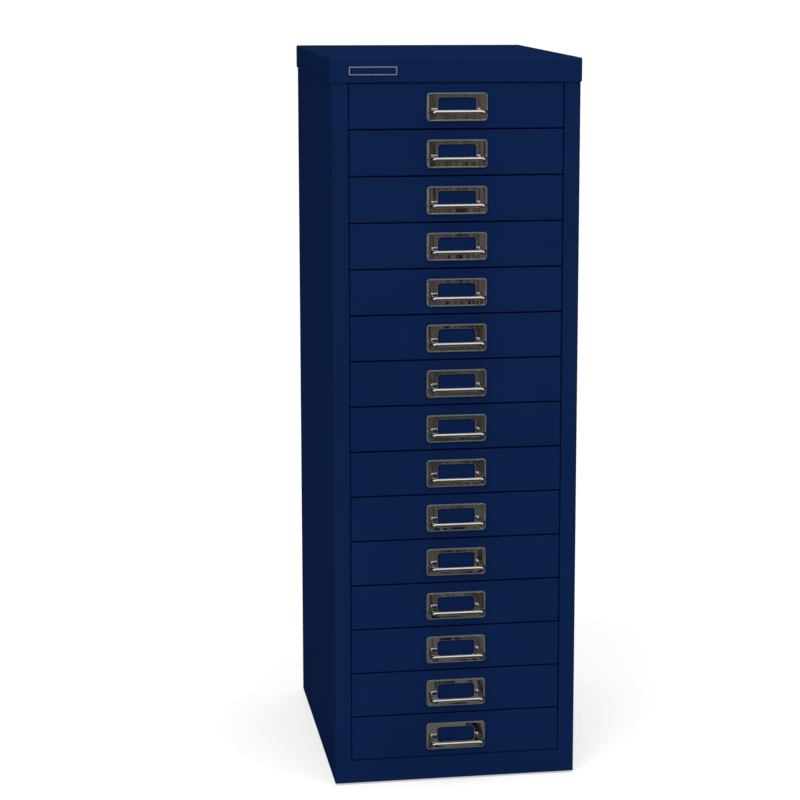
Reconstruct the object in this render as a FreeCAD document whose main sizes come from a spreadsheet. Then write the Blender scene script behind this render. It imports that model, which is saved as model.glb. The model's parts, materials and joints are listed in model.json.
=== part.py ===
"""Multi-drawer cabinet: a sheet-steel carcass with a stack of shallow drawers.

Millimetres. +Z is up, the fronts face -Y and +X is to the right. The origin is
under the middle of the whole cabinet, pulls included, on the floor.

Every sub-part is modelled in the cabinet's own axes with y = 0 on the front
plane of the carcass and y growing towards the back. Its Placement then puts
that plane where the origin needs it. A drawer's pieces count z from the bottom
of the drawer's own bay.
"""

import FreeCAD, Part

import math
import os
import re

import Sketcher

Vector = FreeCAD.Vector

# How close two places on an edge are when they count as the same
TOLERANCE = 0.01

# Driving dimensions: alias, value and what it measures
SIZES = [
    ("body_width", 289.0, "outside width of the carcass"),
    ("body_depth", 377.0, "outside depth of the carcass"),
    ("drawer_count", 15, "number of drawers"),
    ("drawer_pitch", 53.5, "height of one drawer's bay"),
    ("plinth_height", 27.5, "plinth below the lowest drawer"),
    ("glide_height", 2.5, "glide disc below the carcass"),
    ("carcass_sheet", 0.8, "sheet thickness of the carcass and its runners"),
    ("body_corner_radius", 1.6, "outside bend at the carcass's vertical edges"),
    ("stile_width", 19.0, "front face of a side panel"),
    ("stile_return", 12.0, "depth of the fold behind a stile and of the rails"),
    ("rear_flange", 14.0, "width of a side panel's rear flange"),
    ("top_flange", 12.0, "width of a side panel's top flange"),
    ("top_flange_setback", 20.0, "top flange's distance from front and back"),
    ("cap_height", 27.5, "height of the top cap over its skirt"),
    ("cap_sheet", 1.0, "sheet thickness of the top cap"),
    ("cap_overhang", 1.5, "how far the cap stands proud of the carcass"),
    ("cap_corner_radius", 2.5, "cap's vertical corners"),
    ("cap_edge_radius", 2.0, "cap's upper edges"),
    ("back_side_gap", 0.2, "back panel's clearance to each side panel"),
    ("pan_setback", 0.3, "base pan's clearance behind the stile returns"),
    ("pan_flange_drop", 12.5, "base pan's flanges end this far below the bays"),
    ("runner_margin", 5.0, "runner panel's reach above and below the bays"),
    ("runner_panel_gap", 1.5, "runner panel's clearance to stile and rivets"),
    ("channel_setback", 2.0, "runner channel's distance behind the folds"),
    ("rear_space", 16.0, "free space behind the runner channels"),
    ("front_gap", 1.5, "gap between one drawer front and the next"),
    ("front_side_gap", 1.0, "gap between a drawer front and a stile"),
    ("front_return", 12.0, "depth of the folds round a drawer front"),
    ("front_edge_radius", 1.2, "bend round a drawer front"),
    ("front_corner_radius", 1.0, "corners of a drawer front"),
    ("drawer_sheet", 0.7, "sheet thickness of a drawer"),
    ("tray_height", 42.5, "drawer side from its floor to its lip"),
    ("tray_back_height", 38.0, "drawer's back wall"),
    ("tray_bend_radius", 1.5, "outside bend between drawer floor and side"),
    ("lip_width", 7.0, "outward lip that hangs in the runner channel"),
    ("lip_side_gap", 0.5, "lip's clearance to the channel's web"),
    ("lip_lower_gap", 0.3, "lip's clearance over the channel's lower flange"),
    ("lip_upper_gap", 0.8, "lip's clearance under the channel's upper flange"),
    ("channel_flange_gap", 1.5, "channel flange's clearance to a drawer side"),
    ("drawer_travel", 300.0, "drawer's run from shut to its front stop"),
    ("stop_gap", 0.4, "clearance at both stops"),
    ("stop_lug_inset", 1.0, "stop lug's distance from the drawer side"),
    ("stop_lug_width", 3.0, "stop lug across the cabinet"),
    ("stop_lug_height", 3.0, "stop lug above its lip"),
    ("stop_lug_gap", 0.5, "stop lug's clearance to the upper flange"),
    ("stop_tab_height", 2.7, "front stop tab over the upper clearance"),
    ("plate_width", 70.5, "label frame across"),
    ("plate_height", 32.5, "label frame up"),
    ("plate_thickness", 2.2, "label frame's crown over the drawer front"),
    ("plate_corner_radius", 4.0, "label frame's corners"),
    ("plate_edge_radius", 1.2, "label frame's outer crown"),
    ("plate_drop", 1.3, "label frame's centre below the front's centre"),
    ("window_width", 44.6, "label window across"),
    ("window_height", 18.2, "label window up"),
    ("window_top_rail", 5.4, "label frame above its window"),
    ("window_corner_radius", 3.8, "label window's corners"),
    ("window_edge_radius", 0.8, "label frame's inner crown"),
    ("card_recess_depth", 0.9, "room for a card behind the window"),
    ("card_recess_margin", 3.0, "card recess beyond the window, each way"),
    ("rod_radius", 2.75, "pull bow's rod"),
    ("pull_span", 60.3, "pull bow's feet, centre to centre"),
    ("pull_reach", 15.5, "bar's centre in front of the label frame"),
    ("pull_drop", 5.1, "pull bow below the label frame's centre"),
    ("pull_bend_radius", 5.5, "centre line of the pull bow's bends"),
    ("screw_radius", 1.45, "pull screw's shank"),
    ("screw_hole_radius", 1.65, "clearance hole for a pull screw"),
    ("thread_radius", 1.5, "threaded hole in a pull's foot"),
    ("thread_depth", 4.0, "threaded hole's depth in a pull's foot"),
    ("screw_tip_gap", 0.3, "room past the pull screw's tip"),
    ("screw_head_radius", 2.9, "pull screw's head"),
    ("screw_head_height", 1.8, "pull screw's head"),
    ("glide_radius", 12.0, "glide disc"),
    ("glide_chamfer", 0.8, "bevel of the glide disc's lower edge"),
    ("glide_chamfer_angle", 45.0, "lean of that bevel, in degrees"),
    ("glide_stem_radius", 3.9, "glide stem"),
    ("glide_hole_gap", 0.1, "glide stem's clearance in the base pan"),
    ("glide_stem_height", 4.0, "glide stem above the base pan"),
    ("glide_side_inset", 25.0, "glide centre from the carcass's side"),
    ("glide_end_inset", 32.0, "glide centre from the carcass's front and back"),
    ("rivet_radius", 1.6, "rivet's shank"),
    ("rivet_hole_gap", 0.1, "rivet's clearance in its hole"),
    ("rivet_head_radius", 3.2, "rivet's head"),
    ("rivet_head_height", 1.0, "rivet's head"),
    ("rivet_tail_radius", 2.4, "rivet's set tail"),
    ("rivet_tail_height", 1.6, "rivet's set tail"),
    ("rivet_count", 6, "rivets on each side"),
    ("rivet_end_inset", 60.0, "first rivet from the carcass's top and bottom"),
    ("badge_width", 55.0, "badge strip across"),
    ("badge_height", 9.5, "badge strip up"),
    ("badge_thickness", 1.2, "badge strip over the cap's skirt"),
    ("badge_top_drop", 9.5, "badge strip's top below the cap's top"),
    ("badge_corner_radius", 1.0, "badge strip's corners"),
    ("badge_pin_radius", 1.5, "pins that hold the badge strip"),
    ("badge_pin_gap", 0.1, "badge pin's clearance in the skirt"),
    ("badge_pin_inset", 8.0, "badge pin from the strip's end"),
]

# Places worked out from the driving dimensions
PLACES = {
    "half_width": "body_width / 2",
    "side_inner": "half_width - carcass_sheet",
    "opening_half": "half_width - stile_width",
    "return_outer": "opening_half + carcass_sheet",
    "liner_outer": "return_outer + carcass_sheet",
    "back_outer": "body_depth - carcass_sheet",
    "back_inner": "back_outer - carcass_sheet",
    "bays_low": "glide_height + plinth_height",
    "bays_high": "bays_low + drawer_count * drawer_pitch",
    "cabinet_top": "bays_high + cap_height",
    "body_top": "cabinet_top - cap_sheet",
    "cap_half": "half_width + cap_overhang",
    "cap_back": "body_depth + cap_overhang",
    "pull_front": "plate_thickness + pull_reach + rod_radius",
    "front_plane": "(pull_front - cap_back) / 2",
    "pan_top": "glide_height + carcass_sheet",
    "pan_flange_top": "bays_low - pan_flange_drop",
    "pan_front": "stile_return + pan_setback",
    "front_half": "opening_half - front_side_gap",
    "front_low": "front_gap / 2",
    "front_high": "drawer_pitch - front_gap / 2",
    "floor_low": "front_low + drawer_sheet",
    "lip_half": "opening_half - lip_side_gap",
    "tray_half": "lip_half - lip_width",
    "tray_inner": "tray_half - drawer_sheet",
    "lip_high": "floor_low + tray_height",
    "lip_low": "lip_high - drawer_sheet",
    "channel_front": "max(stile_return; front_return) + channel_setback",
    "channel_back": "back_inner - rear_space",
    "channel_flange_inner": "tray_half + channel_flange_gap",
    "lower_flange_high": "lip_low - lip_lower_gap",
    "lower_flange_low": "lower_flange_high - carcass_sheet",
    "upper_flange_low": "lip_high + lip_upper_gap",
    "upper_flange_high": "upper_flange_low + carcass_sheet",
    "lug_inner": "tray_half + stop_lug_inset",
    "lug_outer": "lug_inner + stop_lug_width",
    "lug_front": "channel_front + carcass_sheet + drawer_travel + stop_gap",
    "tray_back": "channel_back - carcass_sheet - stop_gap",
    "plate_half": "plate_width / 2",
    "plate_middle": "drawer_pitch / 2 - plate_drop",
    "plate_low": "plate_middle - plate_height / 2",
    "plate_high": "plate_middle + plate_height / 2",
    "window_half": "window_width / 2",
    "window_high": "plate_high - window_top_rail",
    "window_low": "window_high - window_height",
    "foot_half": "pull_span / 2",
    "foot_middle": "plate_middle - pull_drop",
    "bar_line": "-(plate_thickness + pull_reach)",
    "bar_end": "foot_half - pull_bend_radius",
    "arm_end": "bar_line + pull_bend_radius",
    "glide_half": "half_width - glide_side_inset",
    "rivet_half": "half_width - rear_flange / 2",
    "rivet_low": "glide_height + rivet_end_inset",
    "rivet_run": "body_top - rivet_end_inset - rivet_low",
    "badge_left": "-front_half",
    "badge_high": "cabinet_top - badge_top_drop",
    "badge_low": "badge_high - badge_height",
    "badge_pin_left": "badge_left + badge_pin_inset",
    "badge_pin_right": "badge_left + badge_width - badge_pin_inset",
    "badge_middle": "badge_high - badge_height / 2",
}

ALIASES = [alias for alias, size, meaning in SIZES]

doc = FreeCAD.newDocument("cabinet")
sheet = doc.addObject("Spreadsheet::Sheet", "sizes")
for row, (alias, size, meaning) in enumerate(SIZES, start=1):
    sheet.set(f"A{row}", meaning)
    sheet.set(f"B{row}", str(size))
    sheet.setAlias(f"B{row}", alias)
doc.recompute()


def bound(text):
    """Turn a formula in plain names into one that reads the sheet's cells."""

    def cell(match):
        name = match.group(0)
        if name in PLACES:
            return "(" + bound(PLACES[name]) + ")"
        if name in ALIASES:
            return "sizes." + name
        return name

    return re.sub(r"[a-z][a-z_]*", cell, str(text))


def value(text):
    """Today's value of a formula, as a plain number."""
    result = sheet.evalExpression(bound(text))
    return float(getattr(result, "Value", result))


def plane(body, role):
    """One of the body's own origin planes or axes."""
    return [item for item in body.Origin.OriginFeatures if item.Role == role][0]


def new_body(label):
    """A body that stands on the cabinet's front plane."""
    body = doc.addObject("PartDesign::Body", label)
    body.Label = label
    body.setExpression("Placement.Base.y", bound("front_plane"))
    return body


def new_sketch(body, name, role, offset="0"):
    """A sketch on one of the body's planes, moved along the plane's normal."""
    sketch = body.newObject("Sketcher::SketchObject", name)
    sketch.AttachmentSupport = [(plane(body, role), "")]
    sketch.MapMode = "FlatFace"
    sketch.setExpression("AttachmentOffset.Base.z", bound(offset))
    return sketch


def front_sketch(body, name, depth="0"):
    """A sketch seen from the front, at a depth behind the front plane."""
    return new_sketch(body, name, "XZ_Plane", f"-({depth})")


def plan_sketch(body, name, height="0"):
    """A sketch seen from above, at a height."""
    return new_sketch(body, name, "XY_Plane", height)


def bind(sketch, kind, first, second, formula):
    """A dimension that follows a formula."""
    number = sketch.addConstraint(Sketcher.Constraint(kind, *first, *second, value(formula)))
    sketch.setExpression(f"Constraints[{number}]", bound(formula))


def polygon(sketch, corners):
    """A closed outline with every corner bound to formulas."""
    points = [Vector(value(x), value(y), 0) for x, y in corners]
    start = sketch.GeometryCount
    count = len(points)
    for index in range(count):
        line = Part.LineSegment(points[index], points[(index + 1) % count])
        sketch.addGeometry(line, False)
    for index in range(count):
        this_line = start + index
        next_line = start + (index + 1) % count
        sketch.addConstraint(Sketcher.Constraint("Coincident", this_line, 2, next_line, 1))
    for index, (x, y) in enumerate(corners):
        bind(sketch, "DistanceX", (-1, 1), (start + index, 1), x)
        bind(sketch, "DistanceY", (-1, 1), (start + index, 1), y)


def rectangle(sketch, left, right, low, high):
    """A rectangle between two formulas each way."""
    polygon(sketch, [(left, low), (right, low), (right, high), (left, high)])


def circle(sketch, x, y, radius):
    """A circle with its centre and radius bound to formulas."""
    number = sketch.GeometryCount
    centre = Vector(value(x), value(y), 0)
    sketch.addGeometry(Part.Circle(centre, Vector(0, 0, 1), value(radius)), False)
    bind(sketch, "DistanceX", (-1, 1), (number, 3), x)
    bind(sketch, "DistanceY", (-1, 1), (number, 3), y)
    row = sketch.addConstraint(Sketcher.Constraint("Radius", number, value(radius)))
    sketch.setExpression(f"Constraints[{row}]", bound(radius))


def pad(body, sketch, length, name, backwards=False):
    """Material along the sketch's normal, or against it."""
    feature = body.newObject("PartDesign::Pad", name)
    feature.Profile = sketch
    feature.Reversed = backwards
    feature.setExpression("Length", bound(length))
    doc.recompute()
    return feature


def pocket(body, sketch, length, name, backwards=False):
    """A cut against the sketch's normal, or along it. It has to take something away."""
    before = body.Shape.Volume
    feature = body.newObject("PartDesign::Pocket", name)
    feature.Profile = sketch
    feature.Reversed = backwards
    feature.setExpression("Length", bound(length))
    doc.recompute()
    check_cut(body, before, name)
    return feature


def check_cut(body, before, name):
    """Stop when a cut has taken nothing away."""
    if body.Shape.Volume >= before:
        raise RuntimeError(f"{body.Label}: {name} cuts nothing")


def round_edges(body, name, radius, wanted):
    """Fillet the edges of the body whose middle and direction pass the test."""
    names = []
    for number, edge in enumerate(body.Shape.Edges, start=1):
        if edge.Degenerated:
            continue
        halfway = (edge.FirstParameter + edge.LastParameter) / 2
        middle = edge.valueAt(halfway)
        direction = edge.tangentAt(halfway)
        if wanted(body.Placement.inverse().multVec(middle), direction):
            names.append(f"Edge{number}")
    if not names:
        raise RuntimeError(f"{body.Label}: {name} finds no edge")
    rounded = body.Tip
    feature = body.newObject("PartDesign::Fillet", name)
    feature.Base = (rounded, names)
    feature.setExpression("Radius", bound(radius))
    doc.recompute()
    return feature


def near(one, other):
    """True where two numbers differ by less than any size of the cabinet does."""
    return abs(one - other) < TOLERANCE


def row_of(body, name, features, axis, run, count):
    """Repeat features in a row along one of the body's axes."""
    pattern = body.newObject("PartDesign::LinearPattern", name)
    pattern.Originals = features
    pattern.Direction = (plane(body, axis), [""])
    pattern.setExpression("Length", bound(run))
    pattern.setExpression("Occurrences", bound(count))
    body.Tip = pattern
    doc.recompute()
    return pattern


def grid_of(body, name, features, axes, runs, counts):
    """Repeat features in a grid along two of the body's axes."""
    pattern = row_of(body, name, features, axes[0], runs[0], counts[0])
    pattern.Direction2 = (plane(body, axes[1]), [""])
    pattern.setExpression("Length2", bound(runs[1]))
    pattern.setExpression("Occurrences2", bound(counts[1]))
    doc.recompute()
    return pattern


# Carcass


def side_panel(label, side):
    """Side sheet with its stile, the stile's return, a rear and a top flange."""
    body = new_body(label)
    section = plan_sketch(body, label + "_section", "glide_height")
    polygon(section, [
        (f"{side} * half_width", "0"),
        (f"{side} * half_width", "body_depth"),
        (f"{side} * (half_width - rear_flange)", "body_depth"),
        (f"{side} * (half_width - rear_flange)", "back_outer"),
        (f"{side} * side_inner", "back_outer"),
        (f"{side} * side_inner", "carcass_sheet"),
        (f"{side} * return_outer", "carcass_sheet"),
        (f"{side} * return_outer", "stile_return"),
        (f"{side} * opening_half", "stile_return"),
        (f"{side} * opening_half", "0"),
    ])
    pad(body, section, "body_top - glide_height", label + "_fold")
    flange = plan_sketch(body, label + "_top_outline", "body_top")
    rectangle(
        flange,
        f"{side} * side_inner",
        f"{side} * (side_inner - top_flange)",
        "top_flange_setback",
        "body_depth - top_flange_setback",
    )
    pad(body, flange, "carcass_sheet", label + "_top_flange", backwards=True)
    outside = side * value("half_width")

    def outer_bend(middle, direction):
        return near(abs(direction.z), 1) and near(middle.x, outside)

    round_edges(body, label + "_bends", "body_corner_radius", outer_bend)
    hole = front_sketch(body, label + "_rivet_outline", "back_outer")
    circle(hole, f"{side} * rivet_half", "rivet_low", "rivet_radius + rivet_hole_gap")
    cut = pocket(body, hole, "carcass_sheet", label + "_rivet_hole")
    row_of(body, label + "_rivet_holes", [cut], "Z_Axis", "rivet_run", "rivet_count")
    return body


def back_panel():
    """Flat sheet inside the side panels' rear flanges."""
    body = new_body("back_panel")
    outline = front_sketch(body, "back_panel_outline", "back_inner")
    back_half = "(side_inner - back_side_gap)"
    rectangle(outline, f"-{back_half}", back_half, "glide_height", "body_top")
    pad(body, outline, "carcass_sheet", "back_panel_sheet", backwards=True)
    holes = front_sketch(body, "back_panel_rivet_outline", "back_inner")
    for side in (-1, 1):
        circle(holes, f"{side} * rivet_half", "rivet_low", "rivet_radius + rivet_hole_gap")
    cut = pocket(body, holes, "carcass_sheet", "back_panel_rivet_hole")
    row_of(body, "back_panel_rivet_holes", [cut], "Z_Axis", "rivet_run", "rivet_count")
    return body


def back_panel_rivets():
    """Blind rivets through the rear flanges and the back panel, as one group."""
    body = new_body("back_panel_rivets")
    features = []
    for name, radius, start, length in (
        ("head", "rivet_head_radius", "body_depth", "rivet_head_height"),
        ("shank", "rivet_radius", "back_inner", "2 * carcass_sheet"),
        ("tail", "rivet_tail_radius", "back_inner - rivet_tail_height", "rivet_tail_height"),
    ):
        outline = front_sketch(body, f"rivet_{name}_outline", start)
        circle(outline, "-rivet_half", "rivet_low", radius)
        features.append(pad(body, outline, length, f"rivet_{name}", backwards=True))
    grid_of(
        body,
        "rivet_rows",
        features,
        ("Z_Axis", "X_Axis"),
        ("rivet_run", "2 * rivet_half"),
        ("rivet_count", "2"),
    )
    return body


def base_pan():
    """Floor sheet between the side panels, with a flange on each of its edges."""
    body = new_body("base_pan")
    floor = plan_sketch(body, "base_pan_outline", "glide_height")
    polygon(floor, [
        ("-opening_half", "carcass_sheet"),
        ("opening_half", "carcass_sheet"),
        ("opening_half", "pan_front"),
        ("side_inner", "pan_front"),
        ("side_inner", "back_inner"),
        ("-side_inner", "back_inner"),
        ("-side_inner", "pan_front"),
        ("-opening_half", "pan_front"),
    ])
    pad(body, floor, "carcass_sheet", "base_pan_floor")
    flange_inner = "(side_inner - carcass_sheet)"
    for name, left, right, near_edge, far_edge in (
        ("left", "-side_inner", f"-{flange_inner}", "pan_front", "back_inner"),
        ("right", flange_inner, "side_inner", "pan_front", "back_inner"),
        ("rear", "-side_inner", "side_inner", "back_inner - carcass_sheet", "back_inner"),
        ("front", "-opening_half", "opening_half", "carcass_sheet", "2 * carcass_sheet"),
    ):
        flange = plan_sketch(body, f"base_pan_{name}_outline", "pan_top")
        rectangle(flange, left, right, near_edge, far_edge)
        pad(body, flange, "pan_flange_top - pan_top", f"base_pan_{name}_flange")
    hole = plan_sketch(body, "base_pan_glide_outline", "pan_top")
    circle(hole, "-glide_half", "glide_end_inset", "glide_stem_radius + glide_hole_gap")
    cut = pocket(body, hole, "carcass_sheet", "base_pan_glide_hole")
    grid_of(
        body,
        "base_pan_glide_holes",
        [cut],
        ("X_Axis", "Y_Axis"),
        ("2 * glide_half", "body_depth - 2 * glide_end_inset"),
        ("2", "2"),
    )
    return body


def foot_glides():
    """Four plastic glides pushed into the base pan, as one group."""
    body = new_body("foot_glides")
    features = []
    for name, radius, start, length in (
        ("rim", "glide_radius", "glide_chamfer", "glide_height - glide_chamfer"),
        ("stem", "glide_stem_radius", "glide_height", "carcass_sheet + glide_stem_height"),
    ):
        outline = plan_sketch(body, f"glide_{name}_outline", start)
        circle(outline, "-glide_half", "glide_end_inset", radius)
        features.append(pad(body, outline, length, f"glide_{name}"))
    sole = plan_sketch(body, "glide_sole_outline", "glide_chamfer")
    circle(sole, "-glide_half", "glide_end_inset", "glide_radius")
    taper = pad(body, sole, "glide_chamfer", "glide_sole", backwards=True)
    taper.setExpression("TaperAngle", bound("-glide_chamfer_angle"))
    doc.recompute()
    features.append(taper)
    grid_of(
        body,
        "glide_places",
        features,
        ("X_Axis", "Y_Axis"),
        ("2 * glide_half", "body_depth - 2 * glide_end_inset"),
        ("2", "2"),
    )
    return body


def cross_rail(label, low, high, fold_heights):
    """Rail between the stiles, flush with them, with folds towards the back."""
    body = new_body(label)
    face = front_sketch(body, label + "_outline")
    rectangle(face, "-opening_half", "opening_half", low, high)
    pad(body, face, "carcass_sheet", label + "_face", backwards=True)
    for number, fold_low in enumerate(fold_heights, start=1):
        fold = plan_sketch(body, f"{label}_fold_outline_{number}", fold_low)
        rectangle(fold, "-opening_half", "opening_half", "carcass_sheet", "stile_return")
        pad(body, fold, "carcass_sheet", f"{label}_fold_{number}")
    return body


def top_cap():
    """Folded lid that lies on the side panels' top flanges."""
    body = new_body("top_cap")
    outline = plan_sketch(body, "top_cap_outline", "bays_high")
    rectangle(outline, "-cap_half", "cap_half", "-cap_overhang", "cap_back")
    pad(body, outline, "cap_height", "top_cap_block")

    def corner(middle, direction):
        return near(abs(direction.z), 1)

    def upper(middle, direction):
        return near(middle.z, value("cabinet_top"))

    round_edges(body, "top_cap_corners", "cap_corner_radius", corner)
    round_edges(body, "top_cap_edges", "cap_edge_radius", upper)
    hollow = plan_sketch(body, "top_cap_hollow_outline", "bays_high")
    rectangle(
        hollow,
        "-(cap_half - cap_sheet)",
        "cap_half - cap_sheet",
        "cap_sheet - cap_overhang",
        "cap_back - cap_sheet",
    )
    pocket(body, hollow, "cap_height - cap_sheet", "top_cap_hollow", backwards=True)
    pins = front_sketch(body, "top_cap_badge_outline", "-cap_overhang")
    for pin in ("badge_pin_left", "badge_pin_right"):
        circle(pins, pin, "badge_middle", "badge_pin_radius + badge_pin_gap")
    pocket(body, pins, "cap_sheet", "top_cap_badge_holes")
    return body


def badge_strip():
    """Blank metal strip on the cap's front, held by two pins."""
    body = new_body("badge_strip")
    outline = front_sketch(body, "badge_outline", "-cap_overhang")
    rectangle(outline, "badge_left", "badge_left + badge_width", "badge_low", "badge_high")
    pad(body, outline, "badge_thickness", "badge_plate")

    def corner(middle, direction):
        return near(abs(direction.y), 1)

    round_edges(body, "badge_corners", "badge_corner_radius", corner)
    pins = front_sketch(body, "badge_pin_outline", "-cap_overhang")
    for pin in ("badge_pin_left", "badge_pin_right"):
        circle(pins, pin, "badge_middle", "badge_pin_radius")
    pad(body, pins, "cap_sheet", "badge_pins", backwards=True)
    return body


# Runners


def runner_panel(label, side):
    """Inner liner behind a stile, with a rear flange on the back panel."""
    body = new_body(label)
    section = plan_sketch(body, label + "_section", "bays_low - runner_margin")
    flange_edge = f"{side} * (rivet_half - rivet_tail_radius - runner_panel_gap)"
    polygon(section, [
        (f"{side} * return_outer", "runner_panel_gap"),
        (f"{side} * return_outer", "back_inner"),
        (flange_edge, "back_inner"),
        (flange_edge, "back_inner - carcass_sheet"),
        (f"{side} * liner_outer", "back_inner - carcass_sheet"),
        (f"{side} * liner_outer", "runner_panel_gap"),
    ])
    height = "bays_high - bays_low + 2 * runner_margin"
    pad(body, section, height, label + "_fold")
    return body


def runner_channels(label, side):
    """One channel for each drawer's lip, with a stop tab at both ends."""
    body = new_body(label)
    upper_inner = "lug_outer + stop_lug_gap"
    section = front_sketch(body, label + "_section", "channel_front")
    polygon(section, [
        (f"{side} * return_outer", "bays_low + lower_flange_low"),
        (f"{side} * return_outer", "bays_low + upper_flange_high"),
        (f"{side} * ({upper_inner})", "bays_low + upper_flange_high"),
        (f"{side} * ({upper_inner})", "bays_low + upper_flange_low"),
        (f"{side} * opening_half", "bays_low + upper_flange_low"),
        (f"{side} * opening_half", "bays_low + lower_flange_high"),
        (f"{side} * channel_flange_inner", "bays_low + lower_flange_high"),
        (f"{side} * channel_flange_inner", "bays_low + lower_flange_low"),
    ])
    length = "channel_back - channel_front"
    features = [pad(body, section, length, label + "_fold", backwards=True)]
    for name, start, low, high in (
        ("front_stop", "channel_front", "upper_flange_low", "upper_flange_low + stop_tab_height"),
        ("rear_stop", "channel_back - carcass_sheet", "lower_flange_low", "upper_flange_high"),
    ):
        tab = front_sketch(body, f"{label}_{name}_outline", start)
        rectangle(
            tab,
            f"{side} * channel_flange_inner",
            f"{side} * opening_half",
            f"bays_low + {low}",
            f"bays_low + {high}",
        )
        features.append(pad(body, tab, "carcass_sheet", f"{label}_{name}", backwards=True))
    run = "(drawer_count - 1) * drawer_pitch"
    row_of(body, label + "_row", features, "Z_Axis", run, "drawer_count")
    return body


# Drawer


def bay_height(number):
    """Bottom of a drawer's bay. Drawer 1 is the top one."""
    return f"bays_low + (drawer_count - {number}) * drawer_pitch"


def drawer_name(number, piece):
    return f"drawer_{number:02d}_{piece}"


def drawer_tray(label):
    """Front pan and box of one drawer, with lips and stop lugs."""
    body = new_body(label)
    body.setExpression("Placement.Base.z", bound(bay_height(1)))
    face = front_sketch(body, "tray_front_outline")
    rectangle(face, "-front_half", "front_half", "front_low", "front_high")
    pad(body, face, "front_return", "tray_front_block", backwards=True)

    def corner(middle, direction):
        return near(abs(direction.y), 1)

    def face_edge(middle, direction):
        return near(middle.y, 0)

    round_edges(body, "tray_front_corners", "front_corner_radius", corner)
    round_edges(body, "tray_front_edges", "front_edge_radius", face_edge)
    hollow = front_sketch(body, "tray_front_hollow_outline", "front_return")
    rectangle(
        hollow,
        "-(front_half - drawer_sheet)",
        "front_half - drawer_sheet",
        "front_low + drawer_sheet",
        "front_high - drawer_sheet",
    )
    pocket(body, hollow, "front_return - drawer_sheet", "tray_front_hollow", backwards=True)

    box = front_sketch(body, "tray_box_section", "drawer_sheet")
    polygon(box, [
        ("-tray_half", "lip_high"),
        ("-tray_half", "floor_low"),
        ("tray_half", "floor_low"),
        ("tray_half", "lip_high"),
        ("tray_inner", "lip_high"),
        ("tray_inner", "floor_low + drawer_sheet"),
        ("-tray_inner", "floor_low + drawer_sheet"),
        ("-tray_inner", "lip_high"),
    ])
    pad(body, box, "tray_back - drawer_sheet", "tray_box", backwards=True)

    lips = front_sketch(body, "tray_lip_outline", "channel_front")
    rectangle(lips, "-lip_half", "-tray_half", "lip_low", "lip_high")
    rectangle(lips, "tray_half", "lip_half", "lip_low", "lip_high")
    pad(body, lips, "tray_back - channel_front", "tray_lips", backwards=True)

    back = front_sketch(body, "tray_back_outline", "tray_back - drawer_sheet")
    rectangle(back, "-tray_inner", "tray_inner", "floor_low", "floor_low + tray_back_height")
    pad(body, back, "drawer_sheet", "tray_back_wall", backwards=True)

    lugs = front_sketch(body, "tray_lug_outline", "lug_front")
    rectangle(lugs, "-lug_outer", "-lug_inner", "lip_high", "lip_high + stop_lug_height")
    rectangle(lugs, "lug_inner", "lug_outer", "lip_high", "lip_high + stop_lug_height")
    pad(body, lugs, "drawer_sheet", "tray_stop_lugs", backwards=True)

    def floor_bend(middle, direction):
        on_floor = near(middle.z, value("floor_low")) and near(abs(middle.x), value("tray_half"))
        return on_floor and near(abs(direction.y), 1) and middle.y > value("front_return")

    round_edges(body, "tray_floor_bends", "tray_bend_radius", floor_bend)
    holes = front_sketch(body, "tray_screw_outline")
    for side in (-1, 1):
        circle(holes, f"{side} * foot_half", "foot_middle", "screw_hole_radius")
    pocket(body, holes, "drawer_sheet", "tray_screw_holes")
    return body


def label_frame(label):
    """Plate with a window, crowned towards its edges, and a card recess behind."""
    body = new_body(label)
    body.setExpression("Placement.Base.z", bound(bay_height(1)))
    outline = front_sketch(body, "plate_outline")
    rectangle(outline, "-plate_half", "plate_half", "plate_low", "plate_high")
    pad(body, outline, "plate_thickness", "plate_block")

    def through(middle, direction):
        return near(abs(direction.y), 1)

    def face_edge(middle, direction):
        return near(middle.y, -value("plate_thickness"))

    round_edges(body, "plate_corners", "plate_corner_radius", through)
    round_edges(body, "plate_crown", "plate_edge_radius", face_edge)
    window = front_sketch(body, "window_outline")
    rectangle(window, "-window_half", "window_half", "window_low", "window_high")
    pocket(body, window, "plate_thickness", "window_cut", backwards=True)

    def in_window(middle):
        across = abs(middle.x) < value("window_half") + TOLERANCE
        over = middle.z > value("window_low") - TOLERANCE
        under = middle.z < value("window_high") + TOLERANCE
        return across and over and under

    def window_corner(middle, direction):
        return near(abs(direction.y), 1) and in_window(middle)

    def window_edge(middle, direction):
        return face_edge(middle, direction) and in_window(middle)

    round_edges(body, "window_corners", "window_corner_radius", window_corner)
    round_edges(body, "window_crown", "window_edge_radius", window_edge)
    recess = front_sketch(body, "card_recess_outline")
    rectangle(
        recess,
        "-(window_half + card_recess_margin)",
        "window_half + card_recess_margin",
        "window_low - card_recess_margin",
        "window_high + card_recess_margin",
    )
    pocket(body, recess, "card_recess_depth", "card_recess", backwards=True)
    holes = front_sketch(body, "plate_screw_outline")
    for side in (-1, 1):
        circle(holes, f"{side} * foot_half", "foot_middle", "screw_hole_radius")
    pocket(body, holes, "plate_thickness", "plate_screw_holes", backwards=True)
    return body


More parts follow.
